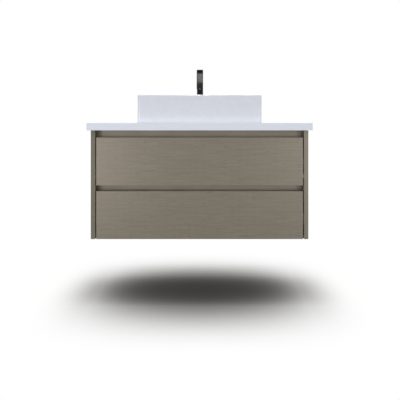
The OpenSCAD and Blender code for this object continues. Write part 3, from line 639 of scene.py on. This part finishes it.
# %% [markdown]
# ## Loops that turn from a rectangle into a circle
# The basin and the spout have cross-sections that are rectangles with round corners, and both end
# in a round opening. Two shapes joined by a cut would leave a seam, so one function gives such
# loops for a whole list of rows at once. With a share of 1 a row is a circle, and in between it is
# partly both.


# %% Loops with round corners
def loops(half_x, half_y, corner, circle=0.0, arc=7, side=9):
    """Rows of points round a rectangle, in its own plane.

    Each quarter is an arc of radius corner round a corner's centre, then points on the straight to
    the next arc. The circle is the same points pushed to unit length after dividing by the half
    sizes, times the half sizes, and the row is the weighted mean of both.
    """
    values = np.broadcast_arrays(half_x, half_y, corner, circle)
    half_x, half_y, corner, circle = (np.atleast_1d(v).astype(float)[:, None] for v in values)
    turn = np.linspace(0, np.pi / 2, arc)
    arcs = []
    for quarter, (sign_x, sign_y) in enumerate([(1, 1), (-1, 1), (-1, -1), (1, -1)]):
        angle = turn + quarter * np.pi / 2
        x = sign_x * (half_x - corner) + corner * np.cos(angle)
        y = sign_y * (half_y - corner) + corner * np.sin(angle)
        arcs.append(np.stack([x, y], axis=-1))
    share = np.linspace(0, 1, side + 2)[1:-1, None]
    parts = []
    for quarter in range(4):
        start, end = arcs[quarter][:, -1:], arcs[(quarter + 1) % 4][:, :1]
        parts += [arcs[quarter], start + (end - start) * share]
    flat = np.concatenate(parts, axis=1)
    halves = np.stack([half_x, half_y], axis=-1)
    unit = flat / halves
    unit = unit / np.linalg.norm(unit, axis=-1, keepdims=True)
    return flat + (unit * halves - flat) * circle[:, :, None]


print("a loop has", loops(1.0, 1.0, 0.1).shape[1], "points")


# %% Quarters of a circle, for eased edges
def quarter_turn(steps):
    """The sines and cosines of angles from 0 to 90 degrees."""
    angle = np.linspace(0, np.pi / 2, steps)
    return np.sin(angle), np.cos(angle)


print("an eased edge in 4 steps:", quarter_turn(4)[0].round(3))

# %% [markdown]
# ## The basin
# A vessel basin is slip-cast: its walls are straight and 12 mm thick, the rim is rounded by the
# glaze, the bowl's corners sweep down in a generous radius, and the floor falls gently to the
# waste. A box with its inside cut out would have none of these, so its profile is drawn once, as an
# inset from the outer wall against a height, and carried round the rectangle. Going down the floor,
# the rectangle turns into the circle of the waste hole. A new piece takes its place from the boxes
# of the CAD pieces that it touches, so it can't drift away from them.


# %% The place of the basin, from the CAD piece
def span(node):
    """The lowest and highest corner of a CAD piece, as two arrays in millimetres."""
    low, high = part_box(node)
    return np.array(low) / MM, np.array(high) / MM


basin_low, basin_high = span("basin")
half = (basin_high - basin_low)[:2] / 2
centre = (basin_high + basin_low)[:2] / 2
foot_z, rim_z = basin_low[2], basin_high[2]
print("basin", np.round(basin_high - basin_low, 1), "mm")

# %% The basin's profile, row by row
WALL, LEAN, FLOOR_FILLET = 12.0, 1.5, 24.0
RIM_OUT, RIM_IN, FOOT_EDGE = 4.5, 3.5, 1.5
CORNER, SMALLEST_CORNER, BOWL_CORNER = 10.0, 5.0, 28.0
RIM_CORNERS = 12.0, 26.0
BOWL_FLOOR_Z = 279.0
# The plain parts of the walls have three rows each. How far they stay away from the roundings:
PLAIN_ROWS = 3
ABOVE_FOOT, UNDER_RIM, IN_BOWL, OVER_FILLET = 10.0, 12.0, 14.0, 12.0
# The bowl's wall leans in by LEAN on its way down, and its three rows by these.
LEAN_ROWS = np.array([0.4, 0.8, 1.2])

sin_few, cos_few = quarter_turn(4)
sin_some, cos_some = quarter_turn(7)
sin_many, cos_many = quarter_turn(13)
fillet_top = BOWL_FLOOR_Z + FLOOR_FILLET
outside = np.concatenate([
    FOOT_EDGE * (1 - sin_few),
    np.zeros(PLAIN_ROWS),
    RIM_OUT * (1 - cos_some),
])
inset = np.concatenate([
    outside,
    WALL - RIM_IN + RIM_IN * sin_some,
    WALL + LEAN_ROWS,
    WALL + LEAN + FLOOR_FILLET * (1 - cos_many),
])
height = np.concatenate([
    foot_z + FOOT_EDGE * (1 - cos_few),
    np.linspace(foot_z + ABOVE_FOOT, rim_z - UNDER_RIM, PLAIN_ROWS),
    rim_z - RIM_OUT * (1 - sin_some),
    rim_z - RIM_IN * (1 - cos_some),
    np.linspace(rim_z - IN_BOWL, fillet_top + OVER_FILLET, PLAIN_ROWS),
    BOWL_FLOOR_Z + FLOOR_FILLET * (1 - sin_many),
])
corner = np.concatenate([
    np.maximum(CORNER - outside, SMALLEST_CORNER),
    np.linspace(*RIM_CORNERS, len(sin_some)),
    np.full(PLAIN_ROWS, BOWL_CORNER),
    BOWL_CORNER - FLOOR_FILLET * (1 - cos_many),
])
walls = loops(half[0] - inset, half[1] - inset, corner)
print("basin walls", walls.shape, "inset up to", round(float(inset.max()), 1), "mm")

# %% The bowl's floor, the waste hole and the hollow foot
DRAIN_Z, BOSS_Z, HOLLOW_Z = 275.0, 257.0, 261.0
DRAIN_R, HOLE_R, BOSS_R = 32.0, 22.5, 40.5
FOOT_WIDTH, FOOT_CORNER = 25.0, 6.0
# The rectangle turns slowly into the circle at first, and faster near the drain.
FALL_ROWS, ROUNDING = 13, 1.5

fall = np.linspace(0, 1, FALL_ROWS + 1)[1:]
floor_half = np.outer(1 - fall, half - inset[-1]) + np.outer(fall, [DRAIN_R, DRAIN_R])
floor_corner = (1 - fall) * corner[-1] + fall * DRAIN_R / 2
bowl = loops(floor_half[:, 0], floor_half[:, 1], floor_corner, fall**ROUNDING)
bowl_z = BOWL_FLOOR_Z + (DRAIN_Z - BOWL_FLOOR_Z) * fall
hole_r = np.array([HOLE_R, HOLE_R, BOSS_R, BOSS_R])
hole = loops(hole_r, hole_r, CORNER, circle=1.0)
hole_z = [DRAIN_Z, BOSS_Z, BOSS_Z, HOLLOW_Z]
foot = loops(half[0] - np.full(2, FOOT_WIDTH), half[1] - np.full(2, FOOT_WIDTH), FOOT_CORNER)
foot_rows_z = [HOLLOW_Z, foot_z]
flat_rows = np.concatenate([walls, bowl, hole, foot]) + centre
rows = at_heights(flat_rows, np.concatenate([height, bowl_z, hole_z, foot_rows_z]))
bowl_piece = skin("vessel_basin", rows, "glaze", "cabinet", ring=True)
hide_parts("basin")

# %% [markdown]
# ## The spout
# The spout is one flat bar, bent cold over a half-round: straight up from the tap's body, over
# the arch and a short way down to the outlet. A bar's edges are eased by about 2 mm. A curve with
# a bevel object may twist on its way, so the section is drawn across the path, with its thickness
# always along the line to the arch's centre, and never twists.

# %% The spout's path
BAR_WIDTH, BAR_DEPTH, BAR_CORNER, BAR_END = 29.5, 20.0, 2.2, 1.0
BAR_GAP, ARCH_STATIONS = 0.3, 65
# The straight part of the bar has two more stations, this far from its ends.
STRAIGHT = 20.0

spout_low, spout_high = span("tap_spout")
aerator_low, aerator_high = span("aerator")
body_low, body_high = span("tap_body")
pillar_y = (body_low[1] + body_high[1]) / 2
outlet_y = (aerator_low[1] + aerator_high[1]) / 2
arch_r = (pillar_y - outlet_y) / 2
arch_y = (pillar_y + outlet_y) / 2
arch_z = spout_high[2] - arch_r - BAR_DEPTH / 2
bar_z = body_high[2] + BAR_GAP
tip_z = aerator_low[2]

angle = np.linspace(0, np.pi, ARCH_STATIONS)
sin_end, cos_end = quarter_turn(4)
bar_foot_z = bar_z + BAR_END * (1 - cos_end)
up_z = np.concatenate([[bar_z], bar_foot_z, [bar_z + STRAIGHT, arch_z - STRAIGHT]])
down_z = tip_z + BAR_END * (1 - sin_end)
path = np.concatenate([
    np.stack([np.full(len(up_z), pillar_y), up_z], axis=-1),
    np.stack([arch_y + arch_r * np.cos(angle), arch_z + arch_r * np.sin(angle)], axis=-1),
    np.stack([np.full(len(down_z), outlet_y), down_z], axis=-1),
])
outward = np.concatenate([
    np.tile([1.0, 0.0], (len(up_z), 1)),
    np.stack([np.cos(angle), np.sin(angle)], axis=-1),
    np.tile([-1.0, 0.0], (len(down_z), 1)),
])
print("spout path of", len(path), "stations, arch radius", round(float(arch_r), 1), "mm")


# %% The spout, carried along its path
FOOT_R, BORE_R = 12.0, 8.05
ROUND_FORM = {"circle": 1.0, "arc": 6, "side": 5}


def carry(section, path, outward):
    """Sets each section across its station: x stays across, y goes along the outward direction."""
    x = section[..., 0]
    yz = path[:, None, :] + section[..., 1:] * outward[:, None, :]
    return np.concatenate([x[..., None], yz], axis=-1)


eased_foot, eased_tip = BAR_END * (1 - sin_end), BAR_END * (1 - cos_end)
shrink = np.concatenate([[BAR_END], eased_foot, np.zeros(2 + len(angle)), eased_tip])
section = loops(BAR_WIDTH / 2 - shrink, BAR_DEPTH / 2 - shrink, BAR_CORNER, arc=6, side=5)
foot_r = np.array([POINT_R, FOOT_R, FOOT_R])
foot_z = spout_low[2]
foot_rows = carry(
    loops(foot_r, foot_r, foot_r / 2, **ROUND_FORM),
    np.array([[pillar_y, foot_z], [pillar_y, foot_z], [pillar_y, bar_z]]),
    np.tile([1.0, 0.0], (3, 1)),
)
bore_r = np.array([BORE_R, BORE_R, POINT_R])
bore_z = aerator_high[2]
bore_rows = carry(
    loops(bore_r, bore_r, bore_r / 2, **ROUND_FORM),
    np.array([[outlet_y, tip_z], [outlet_y, bore_z], [outlet_y, bore_z]]),
    np.tile([-1.0, 0.0], (3, 1)),
)
rows = np.concatenate([foot_rows, carry(section, path, outward), bore_rows])
spout = skin("arched_spout", rows, "black", "spout")
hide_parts("tap_spout")

# %% [markdown]
# ## The plug and the aerator
# Pressing the waste's plug closes it, and the next press opens it. Its cap is turned from brass
# and chromed, slightly domed so that no water stays on it. The aerator in the spout's tip is a
# moulded honeycomb that breaks the jet up, and it can be seen from below. Both are turned pieces,
# so both come from a profile carried round an axis. Cutting some forty cells into the aerator one
# by one would be slow, and a formula sinks all of them into the disc at once.


# %% Turned pieces and a honeycomb
def turned(profile, axis_x, axis_y, around=72):
    """Rows of a lathe piece: each (radius, height) of the profile goes round the upright axis."""
    profile = np.asarray(profile, dtype=float)
    angle = np.linspace(0, 2 * np.pi, around, endpoint=False)
    circle = np.stack([np.cos(angle), np.sin(angle)], axis=-1)
    return at_heights(profile[:, None, :1] * circle + [axis_x, axis_y], profile[:, 1])


def honeycomb(x, y, pitch):
    """0 at the middle of each six-sided cell and 1 on its edge.

    The cells' middles are two rectangular grids, one between the other. Of the offsets to both,
    the shorter one counts, and the largest of its three projections is the share of the way to
    the edge.
    """
    cell = np.array([pitch, pitch * math.sqrt(3)])
    spot = np.stack([x, y], axis=-1)
    first = (spot + cell / 2) % cell - cell / 2
    second = spot % cell - cell / 2
    nearer = np.linalg.norm(first, axis=-1) < np.linalg.norm(second, axis=-1)
    offset = np.abs(np.where(nearer[..., None], first, second))
    slanted = offset[..., 0] / 2 + offset[..., 1] * math.sqrt(3) / 2
    return np.maximum(offset[..., 0], slanted) / (pitch / 2)


print("honeycomb at a cell's middle and edge:", honeycomb(np.array([0, 0.5]), np.zeros(2), 1.0))

# %% The domed plug
PLUG_CAP, PLUG_DOME, PLUG_EDGE, PLUG_BREAK = 5.0, 1.4, 1.6, 0.4
STEM_R, STEM_BORE, DOME_ROWS = 7.0, 4.05, 12

plug_low, plug_high = span("waste_plug")
cap_r = (plug_high[0] - plug_low[0]) / 2
under_z = plug_high[2] - PLUG_CAP
sin_edge, cos_edge = quarter_turn(6)
dome_r = np.linspace(POINT_R, cap_r - PLUG_EDGE, DOME_ROWS)
dome_z = plug_high[2] - PLUG_DOME * (dome_r / dome_r[-1]) ** 2
edge_r = cap_r - PLUG_EDGE * (1 - sin_edge)
edge_z = dome_z[-1] - PLUG_EDGE * (1 - cos_edge)
profile = np.concatenate([
    np.stack([dome_r, dome_z], axis=-1),
    np.stack([edge_r, edge_z], axis=-1),
    [(cap_r, under_z + PLUG_BREAK), (cap_r - PLUG_BREAK, under_z)],
    [(STEM_R, under_z), (STEM_R, plug_low[2])],
    [(STEM_BORE, plug_low[2]), (STEM_BORE, under_z), (POINT_R, under_z)],
])
rows = turned(profile, centre[0], centre[1])
plug = skin("domed_plug", rows, "chrome", "plug")
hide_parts("waste_plug")

# %% The aerator's honeycomb
INSERT_R, INSERT_FRONT, INSERT_BACK = 5.9, 0.5, 1.95
CELL_PITCH, CELL_WALL, CELL_DEPTH, CELL_SLOPE = 1.7, 0.8, 0.9, 0.12
FACE_ROWS, AROUND = 34, 96

front_z, back_z = tip_z + INSERT_FRONT, tip_z + INSERT_BACK
face_r = np.linspace(POINT_R, INSERT_R, FACE_ROWS)
face = np.stack([face_r, np.full(FACE_ROWS, front_z)], axis=-1)
disc = turned(face, 0.0, outlet_y, around=AROUND)
edge_share = honeycomb(disc[..., 0], disc[..., 1] - outlet_y, CELL_PITCH)
disc[..., 2] += CELL_DEPTH * np.clip((CELL_WALL - edge_share) / CELL_SLOPE, 0, 1)
back = [(INSERT_R, front_z), (INSERT_R, back_z), (POINT_R, back_z)]
rows = np.concatenate([disc, turned(back, 0.0, outlet_y, around=AROUND)])
skin("aerator_insert", rows, "plastic", "spout")

# %% [markdown]
# ## The sealant
# The fitter draws a bead of white silicone round the basin's foot and smooths it with a wet
# finger. Its face is hollow, with a radius of about 3 mm, which a bevelled edge of the basin
# wouldn't be. It hides the seam between the basin and the top, which is why the photograph shows
# no line there. Silicone is rubbery and lets a little light in, so it looks softer than the glaze.

# %% The bead of silicone round the basin
BEAD_R, BEAD_GAP = 3.0, 0.05

material, tree, place = new_finish("sanitary_silicone")
finger = spots(tree, place, (14.0, 14.0, 6.0), 1.0)
tone = two_tones(tree, finger, 0.0, 1.0, colour("#D9DCE4"), colour("#E0E3EA"))
sockets = {"Base Color": tone, "Roughness": 0.32, "Subsurface Weight": 0.1}
keep("silicone", material, sockets, finger, 0.1, 0.3)

sin_bead, cos_bead = quarter_turn(9)
reach = np.concatenate([BEAD_R - (BEAD_R - BEAD_GAP) * sin_bead, [BEAD_GAP]])
rise = np.concatenate([BEAD_R - (BEAD_R - BEAD_GAP) * cos_bead, [BEAD_GAP]])
bead = loops(half[0] + reach, half[1] + reach, CORNER + reach) + centre
rows = at_heights(bead, basin_low[2] + rise)
skin("silicone_bead", rows, "silicone", "cabinet", ring=True)

# %% [markdown]
# ## Screws in the drawers
# Pan-head screws with a cross recess hold the angles behind the fronts and the runners' drawer
# members. A head is a flat dome, and the cross is cut into it by lowering the surface wherever a
# point lies closer than half a slot's width to one of the two middle lines. Boolean cuts would do
# it too, but would leave ragged faces on 28 small heads.

# %% Pan-head screws
HEAD_R, HEAD_H, HEAD_DROP, SEAT = 3.3, 2.2, 0.45, 0.02
SLOT_HALF, SLOT_REACH, SLOT_DEPTH = 0.5, 2.0, 1.1
SLOT_SIDE, SLOT_END = 0.15, 0.3
HEAD_ROWS, HEAD_POINTS = 18, 48


def pan_heads(name, seats, out, body):
    """Screw heads on the points seats, each facing along its unit vector out.

    The height over the face at radius r is HEAD_H * (1 - HEAD_DROP * (r / HEAD_R)**4), less the
    recess, which is SLOT_DEPTH deep and has slopes of SLOT_SIDE and SLOT_END.
    """
    seats, out = np.atleast_2d(seats).astype(float), np.atleast_2d(out).astype(float)
    radius = np.concatenate([np.linspace(POINT_R, HEAD_R, HEAD_ROWS), [HEAD_R, POINT_R]])[:, None]
    angle = np.linspace(0, 2 * np.pi, HEAD_POINTS, endpoint=False)
    u, v = radius * np.cos(angle), radius * np.sin(angle)
    in_slot = np.clip((SLOT_HALF - np.minimum(np.abs(u), np.abs(v))) / SLOT_SIDE, 0, 1)
    in_reach = np.clip((SLOT_REACH - np.hypot(u, v)) / SLOT_END, 0, 1)
    dome = HEAD_H * (1 - (radius / HEAD_R) ** 4 * HEAD_DROP)
    height = dome - SLOT_DEPTH * in_slot * in_reach
    height[-2:] = SEAT
    side = np.where(np.abs(out[:, 2:]) > 0.5, [[1.0, 0, 0]], [[0, 0, 1.0]])
    across = np.cross(out, side)
    rows = (
        seats[:, None, None, :]
        + u[None, :, :, None] * side[:, None, None, :]
        + v[None, :, :, None] * across[:, None, None, :]
        + height[None, :, :, None] * out[:, None, None, :]
    )
    return skin(name, rows, "zinc", body)


print("a screw head is", 2 * HEAD_R, "mm wide and", HEAD_H, "mm high")

# %% The screws' places
SHEET = 1.2
FROM_ANGLE_END, OFF_LEG_MIDDLE = 16.0, 1.0
RUNNER_WIDTH, FROM_RUNNER_END, PER_RUNNER = 9.8, 40.0, 3

for drawer in ("upper", "lower"):
    angle_low, angle_high = span(drawer + "_front_angles")
    runner_low, runner_high = span(drawer + "_drawer_runners")
    leg_middle = (angle_high[1] - angle_low[1]) / 2 + OFF_LEG_MIDDLE
    front_x, side_x = angle_high[0] - leg_middle, angle_high[0] - SHEET
    front_y, side_y = angle_low[1] + SHEET, angle_low[1] + leg_middle
    web_x = runner_high[0] - RUNNER_WIDTH + SHEET
    web_z = (runner_low[2] + runner_high[2]) / 2
    web_y = (runner_low[1] + FROM_RUNNER_END, runner_high[1] - FROM_RUNNER_END)
    seats, ways = [], []
    for side in (-1, 1):
        for z in (angle_low[2] + FROM_ANGLE_END, angle_high[2] - FROM_ANGLE_END):
            seats += [(side * front_x, front_y, z), (side * side_x, side_y, z)]
            ways += [(0, 1, 0), (-side, 0, 0)]
        for y in np.linspace(*web_y, PER_RUNNER):
            seats += [(side * web_x, y, web_z)]
            ways += [(side, 0, 0)]
    pan_heads(drawer + "_drawer_screws", seats, ways, drawer + "_drawer")

dressed_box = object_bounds()
growth = (np.abs(dressed_box) - np.abs(cad_box)) / MM
print("grown by", growth.round(2).ravel().tolist(), "mm")
